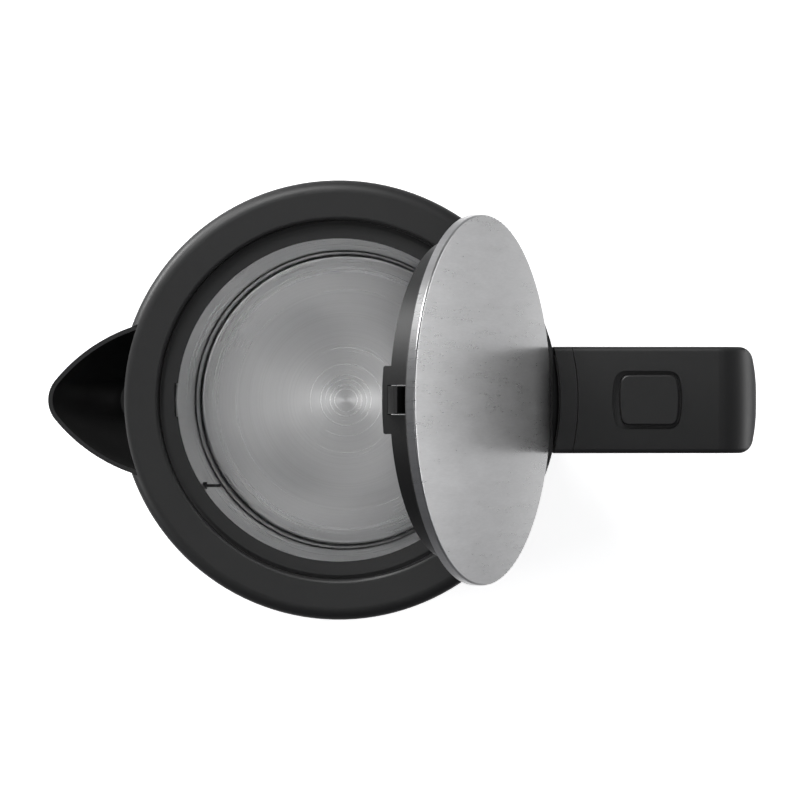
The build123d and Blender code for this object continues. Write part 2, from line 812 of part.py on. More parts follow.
def spout_hollow():
    return spout_form(spout_wall, spout_floor, 5)


def spout():
    with BuildPart() as piece:
        add(spout_form(0, 0, 0))
        add(spout_hollow(), mode=Mode.SUBTRACT)
        ring(0, pot_outer_r + gasket_wall, 0, top_z, mode=Mode.SUBTRACT)
        # the walls stop under the collar and its seat
        ring(0, body_r - 1.9, top_z - collar_top_wall - duct_top_gap, top_z, mode=Mode.SUBTRACT)
        ring(0, recess_r + collar_inner_wall + duct_top_gap, seat_under_z - duct_top_gap, top_z,
             mode=Mode.SUBTRACT)
    save(piece, "spout")


def spout_gasket():
    with BuildPart() as gasket:
        add(spout_form(0, 0, 0))
        add(spout_hollow(), mode=Mode.SUBTRACT)
        ring(0, pot_outer_r, 0, top_z, mode=Mode.SUBTRACT)
        ring(pot_outer_r + gasket_wall, 2 * foot_r, 0, top_z, mode=Mode.SUBTRACT)
        ring(0, body_r, pot_rim_z - duct_top_gap, top_z, mode=Mode.SUBTRACT)
    save(gasket, "spout_gasket")


def spout_filter():
    high_z = top_z - plug_depth - 3.2
    low_z = spout_top_z - spout_height + spout_floor
    with BuildPart() as screen:
        add(spout_form(spout_wall + 0.1, spout_floor + 0.1, 0))
        block((-filter_x, -body_r, 0), (0, body_r, top_z), mode=Mode.SUBTRACT)
        block((-3 * body_r, -body_r, 0), (-filter_x - filter_wall, body_r, top_z), mode=Mode.SUBTRACT)
        block((-2 * body_r, -body_r, high_z), (0, body_r, top_z), mode=Mode.SUBTRACT)
        with BuildSketch(Plane.YZ.offset(-filter_x)):
            for row in range(3):
                with Locations((0, low_z + 3.6 + row * filter_pitch)):
                    with GridLocations(filter_pitch, 1, 3 + 2 * row, 1):
                        Circle(filter_hole_r)
        extrude(amount=-filter_wall, mode=Mode.SUBTRACT)
    save(screen, "spout_filter")


# ---------------------------------------------------------------- lid
def lid_outline(points, mode=Mode.ADD):
    """Revolve an outline of (radius, depth below the lid's edge plane) about the lid's axis."""
    revolve_outline([(r, -t) for r, t in points], axis=lid_axis, plane=lid_side, mode=mode)


def lid_block(x, y, t, mode=Mode.ADD):
    """A block in the lid's frame from ranges of x, y and depth t."""
    with BuildSketch(lid_plane.offset(-t[1])) as section:
        with Locations(((x[0] + x[1]) / 2, (y[0] + y[1]) / 2)):
            Rectangle(x[1] - x[0], y[1] - y[0])
    extrude(section.sketch, amount=t[1] - t[0], mode=mode)


crown_r = (cap_r ** 2 + cap_crown ** 2) / (2 * cap_crown)
rim_in_r = cap_r - cap_plate
flange_low_t = lid_edge
plug_flange_r = rim_in_r - joint_gap
plug_top_t = cap_plate + cap_rim_gap


def crown_z(r, t):
    """Height of the cap's crowned form at radius r, at depth t below its top."""
    return cap_crown - t - (crown_r - sqrt(crown_r ** 2 - r ** 2))


def lid_cap():
    with BuildPart() as cap:
        with BuildSketch(lid_side) as section:
            with BuildLine():
                RadiusArc((0, crown_z(0, cap_plate)), (rim_in_r, crown_z(rim_in_r, cap_plate)), crown_r)
                Polyline((rim_in_r, crown_z(rim_in_r, cap_plate)), (rim_in_r, cap_rim_gap - lid_edge),
                         (cap_r, cap_rim_gap - lid_edge), (cap_r, 0))
                RadiusArc((cap_r, 0), (0, cap_crown), -crown_r)
                Line((0, cap_crown), (0, crown_z(0, cap_plate)))
            make_face()
            corner = section.vertices().sort_by_distance(lid_side.from_local_coords(Vector(cap_r, 0, 0)))
            fillet(corner[0], cap_edge_round)
        revolve(axis=lid_axis)
    save(cap, "lid_cap")


cover_low_t = plug_depth - 0.6
cover_high_t = cover_low_t - inner_cover_wall
lid_screw_place_r = 34.0
lid_screw_r = 1.2
lid_screw_head_r = 2.4
lid_boss_r = 3.4
rail_wall = 1.5
rail_low_t = 8.0
stop_wall = 1.6
arm_low_t = 6.2
spring_front_x = -(bolt_tip_r - 12.0)
spring_back_x = spring_front_x + 10.0


def lid_plug():
    under = flange_low_t
    with BuildPart() as plug:
        with BuildSketch(lid_side):
            with BuildLine():
                edge_z = crown_z(plug_flange_r, plug_top_t)
                RadiusArc((0, crown_z(0, plug_top_t)), (plug_flange_r, edge_z), crown_r)
                Polyline((plug_flange_r, edge_z), (plug_flange_r, -under), (plug_r, -under),
                         (plug_r, -plug_depth), (plug_r - plug_wall, -plug_depth),
                         (plug_r - plug_wall, -under), (0, -under), (0, crown_z(0, plug_top_t)))
            make_face()
        revolve(axis=lid_axis)
        # front tab
        with BuildSketch(lid_plane.offset(-tab_depth)):
            Circle(plug_r)
            Circle(plug_r - plug_wall - 1.0, mode=Mode.SUBTRACT)
            Rectangle(2 * plug_r, tab_width, align=(Align.MAX, Align.CENTER), mode=Mode.INTERSECT)
        extrude(amount=tab_depth - under)
        fillet(plug.edges().filter_by(
            lambda e: abs(lid_plane.to_local_coords(e.center()).Z + tab_depth) < 0.01
            and abs(abs(e.center().Y) - tab_width / 2) < 0.01), tab_corner_r)
        # hinge arms and knuckles
        for side in (-1, 1):
            low_y = min(side * knuckle_inner_y, side * knuckle_outer_y)
            wide = knuckle_outer_y - knuckle_inner_y
            with BuildSketch(lid_side.offset(-low_y)):
                with Locations((pin_x, -pin_drop)):
                    Circle(knuckle_r)
                with BuildLine():
                    Polyline((plug_r - plug_wall, -under), (cap_r + 0.6, -under),
                             (pin_x, -pin_drop + knuckle_r), (pin_x, -pin_drop),
                             (pin_x - knuckle_r, -pin_drop), (pot_outer_r + 0.9, -arm_low_t),
                             (plug_r - plug_wall, -arm_low_t), close=True)
                make_face()
            extrude(amount=-wide)
        with BuildSketch(lid_side):
            with Locations((pin_x, -pin_drop)):
                Circle(pin_r + running_gap)
        extrude(amount=knuckle_outer_y + 1, both=True, mode=Mode.SUBTRACT)
        # guide rails for the latch slide, and the spring's stop wall
        rail = rod_half + slide_gap
        for side in (-1, 1):
            ys = sorted((side * rail, side * (rail + rail_wall)))
            lid_block((-plug_r + 6, plug_r - 1.0), ys, (under - 0.5, rail_low_t))
        stop = (spring_back_x, spring_back_x + stop_wall)
        lid_block(stop, (-rail - 1, rail + 1), (rod_top + rod_wall + 0.4, cover_high_t - joint_gap))
        for side in (-1, 1):
            ys = sorted((side * rail, side * (rail + rail_wall)))
            lid_block(stop, ys, (under - 0.5, cover_high_t - joint_gap))
        # bosses for the inner cover's screws
        with BuildSketch(lid_plane.offset(-cover_high_t + joint_gap)):
            with PolarLocations(lid_screw_place_r, 4, start_angle=45):
                Circle(lid_boss_r)
        extrude(amount=cover_high_t - joint_gap - under + 0.5)
        with BuildSketch(lid_plane.offset(-cover_high_t + joint_gap)):
            with PolarLocations(lid_screw_place_r, 4, start_angle=45):
                Circle(lid_screw_r + thread_gap)
        extrude(amount=6, mode=Mode.SUBTRACT)
        # front window for the bolt, rear way for the slide
        lid_block((-plug_r - 2, -plug_r + 9), (-window_width / 2, window_width / 2),
                  (window_top, window_bottom), mode=Mode.SUBTRACT)
        lid_block((plug_r - 6, cap_r + 8), (-rail, rail), (under + 0.01, plug_depth - 3.4),
                  mode=Mode.SUBTRACT)
    save(plug, "lid_plug")


def lid_seal():
    with BuildPart() as seal:
        low = lid_edge + seat_gap - 0.3
        lid_outline([(mouth_r + 0.6, lid_edge), (seat_outer_r - 0.4, lid_edge), (seat_outer_r - 0.4, low),
                     (mouth_r + 0.6, low)])
        lid_block((30, pin_x), (-knuckle_outer_y - 0.2, knuckle_outer_y + 0.2), (0, 10), mode=Mode.SUBTRACT)
    save(seal, "lid_seal")


def lid_inner_cover():
    with BuildPart() as cover:
        lid_outline([(0, cover_high_t), (plug_r - plug_wall - joint_gap, cover_high_t),
                     (plug_r - plug_wall - joint_gap, cover_low_t), (0, cover_low_t)])
        reach = plug_r - plug_wall - 1.2
        lid_block((-plug_r, -reach + 9), (-tab_width / 2 - 0.2, tab_width / 2 + 0.2),
                  (cover_high_t - 1, cover_low_t + 1), mode=Mode.SUBTRACT)
        with BuildSketch(lid_plane.offset(-cover_low_t)):
            with PolarLocations(lid_screw_place_r, 4, start_angle=45):
                Circle(lid_screw_r + 0.3)
        extrude(amount=inner_cover_wall, mode=Mode.SUBTRACT)
    save(cover, "lid_inner_cover")


def lid_screws():
    with BuildPart() as screws:
        with BuildSketch(lid_plane.offset(-cover_low_t)):
            with PolarLocations(lid_screw_place_r, 4, start_angle=45):
                Circle(lid_screw_head_r)
        extrude(amount=-1.0)
        with BuildSketch(lid_plane.offset(-cover_low_t)):
            with PolarLocations(lid_screw_place_r, 4, start_angle=45):
                Circle(lid_screw_r)
        extrude(amount=6.5)
    save(screws, "lid_screws")


slide_step = 5.4  # the bolt is wider than its rod up to this far behind the plug's wall
spring_t = 8.2  # depth of the spring's axis


def latch_slide():
    bolt_top_t = window_top + bolt_top_gap
    bolt_low_t = window_bottom - slide_gap
    pad_low_t = bolt_low_t - 2.6
    rod_start = slide_step - plug_r
    with BuildPart() as slide:
        with BuildSketch(lid_side):
            with BuildLine():
                Polyline((-bolt_tip_r, -bolt_top_t), (spring_front_x, -bolt_top_t),
                         (spring_front_x, -pad_low_t), (-plug_r + 4.0, -pad_low_t),
                         (-plug_r + 4.0, -bolt_low_t),
                         (-plug_r - nose_stub, -bolt_low_t), (-bolt_tip_r, -bolt_top_t - nose_face),
                         close=True)
            make_face()
        extrude(amount=bolt_width / 2, both=True)
        with BuildSketch(lid_side):
            with BuildLine():
                Polyline((rod_start, -rod_top), (rod_end, -rod_top), (rod_end, -pin_drop),
                         (rod_end - lug_wall, -pin_drop), (rod_end - lug_wall, -rod_top - rod_wall),
                         (spring_front_x, -rod_top - rod_wall), (spring_front_x, -bolt_top_t - 0.2),
                         (rod_start, -bolt_top_t - 0.2), close=True)
            make_face()
        extrude(amount=rod_half, both=True)
        trim = bolt_width / 2 - rod_half
        for side in (-1, 1):
            ys = sorted((side * rod_half, side * (rod_half + trim + 0.1)))
            lid_block((rod_start, rod_end), ys, (0, 20), mode=Mode.SUBTRACT)
    save(slide, "latch_slide")


def latch_spring():
    start = lid_side.from_local_coords(Vector(spring_front_x + 0.1, -spring_t, 0))
    coil = spring_solid(start, lid_x_dir, 1.5, spring_wire, spring_back_x - spring_front_x - 0.2, 6)
    with BuildPart() as spring:
        add(coil)
    save(spring, "latch_spring")


def hinge_pin():
    with BuildPart() as pin:
        rod_between((pin_x, -pin_length / 2 + 0.2, pin_z), (0, 1, 0), pin_r, pin_length - 0.4)
    save(pin, "hinge_pin")


def lid_springs():
    with BuildPart() as springs:
        room = bay_half - knuckle_outer_y
        for side in (-1, 1):
            start = (pin_x, side * (knuckle_outer_y + 0.4), pin_z)
            add(spring_solid(start, (0, side, 0), pin_r + 0.75, 0.3, room - 0.8, 3))
    save(springs, "lid_springs")


# ---------------------------------------------------------------- handle
def handle_screw_places():
    """(y, z) of the screws that hold the handle to the body."""
    top = top_z - 21.5
    low = handle_low_z + arm_height / 2
    wide = handle_width / 2 - 6.7
    return [(-wide, top), (wide, top), (2.5 - wide, low), (wide - 2.5, low)]


def handle_face(inset, root_x):
    """Side view of the handle drawn in by inset, from root_x out to its end."""
    low = handle_low_z + inset
    high = handle_top_z - inset
    end = handle_end_x - inset
    with BuildSketch(Plane.XZ) as face:
        with BuildLine():
            Polyline((root_x, low), (end, low), (end, high), (root_x, high), close=True)
        make_face()
        outer = face.vertices().sort_by(Axis.X)[-2:].sort_by(Axis.Y)
        fillet(outer[0], end_round_low - inset)
        outer = face.vertices().sort_by(Axis.Y)[-2:].sort_by(Axis.X)
        fillet(outer[-1], end_round_top - inset)
    return face.sketch


def finger_face(grow, root_x):
    """Side view of the finger opening, grown all round by grow."""
    low = handle_low_z + arm_height - grow
    high = handle_top_z - arm_height + grow
    end = handle_end_x - grip_depth + grow
    with BuildSketch(Plane.XZ) as face:
        with BuildLine():
            Polyline((root_x, low), (end, low), (end, high), (root_x, high), close=True)
        make_face()
        right = face.vertices().sort_by(Axis.X)[-2:]
        fillet(right, finger_round + grow)
    return face.sketch


def handle_crown_cutter():
    """What the crown takes off, all round the handle's outside."""
    start_x = body_r - 20
    side = handle_width / 2 + 1
    with BuildPart() as cutter:
        with BuildLine(Plane.XZ) as path:
            Line((start_x, handle_top_z), (handle_end_x - end_round_top, handle_top_z))
            RadiusArc((handle_end_x - end_round_top, handle_top_z),
                      (handle_end_x, handle_top_z - end_round_top), end_round_top)
            Line((handle_end_x, handle_top_z - end_round_top), (handle_end_x, handle_low_z + end_round_low))
            RadiusArc((handle_end_x, handle_low_z + end_round_low),
                      (handle_end_x - end_round_low, handle_low_z), end_round_low)
            Line((handle_end_x - end_round_low, handle_low_z), (start_x, handle_low_z))
        across = Plane(origin=(start_x, 0, handle_top_z), x_dir=(0, 1, 0), z_dir=(1, 0, 0))
        with BuildSketch(across) as section:
            with BuildLine():
                ThreePointArc((-side, -handle_crown), (0, 0), (side, -handle_crown))
                Polyline((side, -handle_crown), (side, 3), (-side, 3), (-side, -handle_crown))
            make_face()
        sweep(section.sketch, path=path.line)
    return cutter.part


def handle_form():
    """The handle's outside, solid, from inside the body outwards."""
    with BuildPart() as form:
        extrude(handle_face(0, body_r - 20), amount=handle_width / 2, both=True)
        extrude(finger_face(0, body_r - 30), amount=handle_width, both=True, mode=Mode.SUBTRACT)
        add(handle_crown_cutter(), mode=Mode.SUBTRACT)
        fillet(form.faces().filter_by(Axis.Y).edges().filter_by(
            lambda e: e.center().X > body_r - 10), handle_edge_r)
        sagitta = end_bulge_r - sqrt(end_bulge_r ** 2 - (handle_width / 2) ** 2)
        half = handle_width / 2
        with BuildSketch(Plane.XY) as plan:
            with BuildLine():
                side_x = handle_end_x - sagitta
                Polyline((side_x, half), (0, half), (0, -half), (side_x, -half))
                ThreePointArc((side_x, -half), (handle_end_x, 0), (side_x, half))
            make_face()
            fillet(plan.vertices().sort_by(Axis.X)[-2:], plan_corner_r)
        extrude(amount=top_z, mode=Mode.INTERSECT)
    return form.part


def body_solid(gap):
    """Everything within the body's outside plus a gap."""
    with BuildPart() as body:
        revolve_outline([(0, 0), (foot_r + gap, 0), (foot_r + gap, shell_low_z), (body_r + gap, collar_low_z),
                         (body_r + gap, top_z), (0, top_z)])
    return body.part


def barrel_face(low_x, high_x, half_y, bulge, corner_r):
    """Barrel-shaped plan outline, as the button and its hole have it."""
    with BuildSketch(Plane.XY.offset(handle_top_z)) as face:
        with BuildLine():
            Line((low_x + bulge, -half_y), (high_x - bulge, -half_y))
            ThreePointArc((high_x - bulge, -half_y), (high_x, 0), (high_x - bulge, half_y))
            Line((high_x - bulge, half_y), (low_x + bulge, half_y))
            ThreePointArc((low_x + bulge, half_y), (low_x, 0), (low_x + bulge, -half_y))
        make_face()
        fillet(face.vertices(), corner_r)
    return face.sketch


button_low_x = button_x - button_length / 2
button_high_x = button_x + button_length / 2
flange_over = 1.2  # the button's flange laps its hole by this much
flange_drop = 3.2  # underside of the flange below the handle's inner face
flange_plate = 2.2


def button_face():
    return barrel_face(button_low_x, button_high_x, button_width / 2, button_bulge, button_corner_r)


def button_hole_face():
    return barrel_face(button_low_x - button_front_gap, button_high_x + button_back_gap,
                       button_width / 2 + button_side_gap, hole_bulge, hole_corner_r)


release_side = release_half + slide_gap
root_out_x = bracket_out_r + root_block
guide_low_z = release_low_z - 2.2
guide_top_z = release_top_z + 1.6
guide_start_x = root_out_x + 0.3
guide_end_x = button_x + 19.0


def handle_bracket():
    with BuildPart() as bracket:
        add(handle_form())
        add(body_solid(bracket_gap), mode=Mode.SUBTRACT)
        ring(bracket_out_r, 3 * body_r, 0, top_z, mode=Mode.SUBTRACT)
        ring(0, 3 * body_r, 0, handle_low_z + 2 * arm_height, mode=Mode.SUBTRACT)
        # locating foot that sits against the body, inside the shadow gap
        with BuildSketch(Plane.XY.offset(handle_top_z - arm_height + 2)):
            Circle(bracket_in_r + 0.5)
            with Locations((body_r - 12, 0)):
                Rectangle(body_r, handle_width - 6, align=(Align.MIN, Align.CENTER), mode=Mode.INTERSECT)
        extrude(amount=arm_height - 6)
        add(body_solid(0.15), mode=Mode.SUBTRACT)
        block((0, -release_side, release_low_z - slide_gap), (200, release_side, release_top_z + slide_gap),
              mode=Mode.SUBTRACT)
        for y, z in handle_screw_places()[:2]:
            rod_between((body_r - 12, y, z), (1, 0, 0), screw_hole_r, 60, mode=Mode.SUBTRACT)
    save(bracket, "handle_bracket")


def handle_cavity():
    """The hollow inside the handle's two shells."""
    half = handle_width / 2 - handle_wall
    with BuildPart() as cavity:
        extrude(handle_face(handle_wall, root_out_x), amount=half, both=True)
        extrude(finger_face(handle_wall, body_r - 30), amount=half, both=True, mode=Mode.SUBTRACT)
    return cavity.part


def handle_shell(name, outer):
    """One of the handle's two hollow shells, split along a line round the finger opening."""
    with BuildPart() as shell:
        add(handle_form())
        add(body_solid(0.15), mode=Mode.SUBTRACT)
        # the top arm starts beyond the bracket
        ring(0, bracket_out_r + 0.2, handle_low_z + 2 * arm_height, top_z, mode=Mode.SUBTRACT)
        # hollow, with a solid block left at each root for the screws
        add(handle_cavity(), mode=Mode.SUBTRACT)
        if outer:
            extrude(finger_face(inner_cover_depth, body_r - 30), amount=handle_width, both=True,
                    mode=Mode.SUBTRACT)
            extrude(button_hole_face(), amount=-handle_wall - 1, mode=Mode.SUBTRACT)
        else:
            extrude(finger_face(inner_cover_depth - joint_gap, body_r - 30), amount=handle_width, both=True,
                    mode=Mode.INTERSECT)
        block((0, -release_side, release_low_z - slide_gap), (guide_start_x, release_side,
              release_top_z + slide_gap), mode=Mode.SUBTRACT)
        for y, z in handle_screw_places():
            rod_between((body_r - 5, y, z), (1, 0, 0), screw_r + thread_gap, 22, mode=Mode.SUBTRACT)
    save(shell, name)


def handle_screws():
    with BuildPart() as screws:
        for y, z in handle_screw_places():
            wall_x = sqrt((body_r_at(z) - shell_wall) ** 2 - y ** 2)
            head_x = wall_x - screw_head - 1.0
            rod_between((head_x, y, z), (1, 0, 0), screw_head_r, screw_head)
            rod_between((head_x, y, z), (1, 0, 0), screw_r, body_r + 15.5 - head_x)
    save(screws, "handle_screws")


def lid_button():
    plate_low = handle_top_z - button_plate
    flange_low = handle_top_z - handle_wall - flange_drop
    foot_x = button_x - 4.0
    tip_z = release_top_z - 0.3
    with BuildPart() as button:
        extrude(button_face(), amount=button_proud)
        fillet(button.faces().sort_by(Axis.Z)[-1].edges(), min(button_edge_r, button_proud * 0.9))
        extrude(button_face(), amount=-button_plate)
        side = button_width / 2 + button_side_gap + flange_over
        block((button_low_x - button_front_gap - flange_over, -side, flange_low),
              (button_high_x + button_back_gap + flange_over, side, flange_low + flange_plate))
        core = button_width / 2 - 1
        block((button_low_x + 1, -core, flange_low), (button_high_x - 1, core, plate_low + 1))
        with BuildSketch(Plane.XZ):
            with BuildLine():
                rise = flange_low - tip_z
                Polyline((foot_x - 3, flange_low + 0.5), (foot_x - 3, tip_z), (foot_x, tip_z),
                         (foot_x + rise, flange_low), (foot_x + rise, flange_low + 0.5), close=True)
            make_face()
        extrude(amount=2.6, both=True)
    save(button, "lid_button")


def button_springs():
    flange_low = handle_top_z - handle_wall - flange_drop
    side_y = release_side + 3.1
    with BuildPart() as springs:
        for y in (-side_y, side_y):
            start = (button_x + 4, y, guide_top_z + 0.05)
            add(spring_solid(start, (0, 0, 1), spring_r, spring_wire, flange_low - guide_top_z - 0.1, 4))
    save(springs, "button_springs")


def release_guide():
    half = release_side + 5.4
    with BuildPart() as guide:
        block((guide_start_x, -half, guide_low_z), (guide_end_x, half, guide_top_z))
        block((guide_start_x - 1, -release_side, release_low_z - slide_gap), (guide_end_x - 3, release_side,
              guide_top_z + 1), mode=Mode.SUBTRACT)
    save(guide, "release_guide")


def release_slide():
    foot_x = button_x - 4.0
    tip_z = release_top_z - 0.3
    hook_x = rod_end - lug_wall - slide_gap - hook_wall
    end_x = button_x + 12.0
    play = 0.25
    edge_low_x = foot_x + play - (tip_z - release_low_z)
    with BuildPart() as slide:
        block((hook_x, -release_half, release_low_z), (end_x, release_half, release_top_z))
        block((hook_x, -release_half + 0.6, release_low_z), (hook_x + hook_wall, release_half - 0.6,
              top_z - rod_top - rod_wall - 0.6))
        with BuildSketch(Plane.XZ):
            with BuildLine():
                rise = release_wall + 1
                slot_x = foot_x - 3 - button_travel - 0.8
                Polyline((slot_x, release_low_z - 1), (edge_low_x - 1, release_low_z - 1),
                         (edge_low_x + rise, release_top_z + 1), (slot_x, release_top_z + 1), close=True)
            make_face()
        extrude(amount=2.9, both=True, mode=Mode.SUBTRACT)
    save(slide, "release_slide")


# ---------------------------------------------------------------- switch
switch_x = foot_r - switch_x_in
ear_far_y = 11.0
ear_wall = 3.0


def steam_switch():
    with BuildPart() as housing:
        block((foot_r - 27, -12, switch_z - 8), (foot_r - 13, tube_y + 5, switch_z + 6.5))
        for y in (-ear_far_y, ear_far_y - ear_wall):
            block((foot_r - 13, y, switch_z - 5.5), (foot_r - 3, y + ear_wall, switch_z + 5))
        ring(foot_r - shell_wall - 3.2, foot_r + 20, base_height, 2 * switch_z, mode=Mode.SUBTRACT)
        ring(0, element_r + element_tube_r + 1.5, base_height, 2 * switch_z, mode=Mode.SUBTRACT)
        rod_between((switch_x, -15, switch_z), (0, 1, 0), pin_r + thread_gap, 30, mode=Mode.SUBTRACT)
        rod_between((tube_x, tube_y, switch_z + 2), (0, 0, 1), tube_outer_r + 1.5, 10, mode=Mode.SUBTRACT)
    save(housing, "steam_switch")


def steam_bimetal():
    with BuildPart() as disc:
        with BuildSketch(Plane.XY.offset(switch_z + 2.6)):
            with Locations((tube_x, tube_y)):
                Circle(tube_outer_r + 1.0)
        extrude(amount=0.5)
    save(disc, "steam_bimetal")


def switch_pin():
    with BuildPart() as pin:
        rod_between((switch_x, -ear_far_y, switch_z), (0, 1, 0), pin_r, 2 * ear_far_y)
    save(pin, "switch_pin")


def power_switch():
    x = switch_x
    with BuildPart() as switch:
        with BuildSketch(Plane.XZ):
            with Locations((x, switch_z)):
                Circle(3.4)
            with BuildLine():
                Polyline((x, switch_z - 1.0), (x + 8, switch_z - 1.0), (x + switch_reach + 6, switch_z + 1.6),
                         (x + switch_reach + 6, switch_z + 4.2), (x + 8, switch_z + 2.0), (x, switch_z + 2.0),
                         close=True)
            make_face()
        extrude(amount=switch_half, both=True)
        with BuildSketch(Plane.XZ):
            with Locations((x, switch_z)):
                Circle(pin_r + running_gap)
        extrude(amount=switch_half + 1, both=True, mode=Mode.SUBTRACT)
    save(switch, "power_switch")


pieces = [
    base_top_cover, base_bottom_cover, base_feet, base_screws, cord_gland, base_connector, base_contacts,
    base_cap, base_cap_screws, outer_shell, inner_pot, pot_gasket, max_level_tab, heating_plate,
    heating_element, bimetal_discs, control_body, control_contacts, control_screws, top_collar, steam_tube,
    spout, spout_gasket, spout_filter, lid_cap, lid_plug, lid_seal, lid_inner_cover, lid_screws, latch_slide,
    latch_spring, hinge_pin, lid_springs, handle_bracket, handle_screws, lid_button, button_springs,
    release_guide, release_slide, steam_switch, steam_bimetal, switch_pin, power_switch,
]
for make in pieces:
    make()
handle_shell("handle_outer_shell", outer=True)
handle_shell("handle_inner_cover", outer=False)
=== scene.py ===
import json
import math

import bpy
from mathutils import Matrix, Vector


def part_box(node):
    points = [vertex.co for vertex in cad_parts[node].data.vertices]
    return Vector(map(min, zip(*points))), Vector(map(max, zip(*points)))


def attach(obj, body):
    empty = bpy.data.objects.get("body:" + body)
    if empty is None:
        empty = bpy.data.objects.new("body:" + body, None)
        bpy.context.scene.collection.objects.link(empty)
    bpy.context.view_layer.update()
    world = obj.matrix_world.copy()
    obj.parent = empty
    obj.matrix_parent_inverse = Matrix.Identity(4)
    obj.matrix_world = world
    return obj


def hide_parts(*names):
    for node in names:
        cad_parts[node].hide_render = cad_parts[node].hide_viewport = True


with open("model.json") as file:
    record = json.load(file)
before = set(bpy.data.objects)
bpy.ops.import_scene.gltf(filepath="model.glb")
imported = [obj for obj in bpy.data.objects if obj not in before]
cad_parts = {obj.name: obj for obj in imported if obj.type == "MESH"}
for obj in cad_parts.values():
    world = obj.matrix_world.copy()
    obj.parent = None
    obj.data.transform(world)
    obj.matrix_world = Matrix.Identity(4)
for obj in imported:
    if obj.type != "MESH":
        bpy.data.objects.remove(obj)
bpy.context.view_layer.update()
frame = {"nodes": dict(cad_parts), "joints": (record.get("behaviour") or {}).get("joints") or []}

nodes = frame["nodes"]

# ------------------------------------------------------------------ places from the frame
TOP_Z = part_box("top_collar")[1][2]
BASE_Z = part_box("base_feet")[0][2]
lid_joint = [j for j in frame["joints"] if j["name"] == "lid_hinge"][0]
OPEN = math.radians(-lid_joint["range_deg"][0])
LID_ALONG = (math.cos(OPEN), 0.0, -math.sin(OPEN))  # along the open lid, away from its free edge
LID_TURN = (0.0, OPEN, 0.0)  # the lid's own axes, as seen from the object's

# ------------------------------------------------------------------ camera
CAMERA_RISE = 1.300  # above the collar
CAMERA_X = 0.0209  # the middle of the view, between the spout's tip and the handle's end
LENS_MM = 172.0
SENSOR_MM = 36.0
camera = bpy.data.cameras.new("camera")
camera.lens = LENS_MM
camera.sensor_width = SENSOR_MM
camera.clip_start = 0.05
camera.clip_end = 20.0
camera.dof.use_dof = False
camera_object = bpy.data.objects.new("camera", camera)
camera_object.location = (CAMERA_X, 0.0, TOP_Z + CAMERA_RISE)
bpy.context.scene.collection.objects.link(camera_object)
bpy.context.scene.camera = camera_object
bpy.context.scene.view_settings.view_transform = "Standard"

# ------------------------------------------------------------------ lights
WORLD_COLOUR = (0.92, 0.94, 1.0, 1.0)
WORLD_STRENGTH = 0.12
world = bpy.data.worlds.new("studio")
bpy.context.scene.world = world
world.use_nodes = True
back = world.node_tree.nodes["Background"]
back.inputs["Color"].default_value = WORLD_COLOUR
back.inputs["Strength"].default_value = WORLD_STRENGTH


def area_light(name, place, size_x, size_y, power):
    """A soft rectangular light aimed at the middle of the collar."""
    light = bpy.data.lights.new(name, "AREA")
    light.shape = "RECTANGLE"
    light.size = size_x
    light.size_y = size_y
    light.energy = power
    thing = bpy.data.objects.new(name, light)
    thing.location = place
    aim = Vector((0.0, 0.0, TOP_Z)) - Vector(place)
    thing.rotation_euler = aim.to_track_quat("-Z", "Y").to_euler()
    bpy.context.scene.collection.objects.link(thing)


area_light("key", place=(-0.50, 1.35, 1.35), size_x=0.7, size_y=0.7, power=20.0)
area_light("low_left", place=(-1.25, 1.05, 0.42), size_x=0.9, size_y=0.4, power=22.0)
area_light("left", place=(-1.7, -0.3, 0.80), size_x=0.5, size_y=0.6, power=8.0)
area_light("right", place=(0.80, 0.06, 0.12), size_x=0.5, size_y=0.18, power=1.8)
area_light("strip", place=(0.0, 0.0, 2.7), size_x=0.14, size_y=2.2, power=3.6)

# ------------------------------------------------------------------ materials


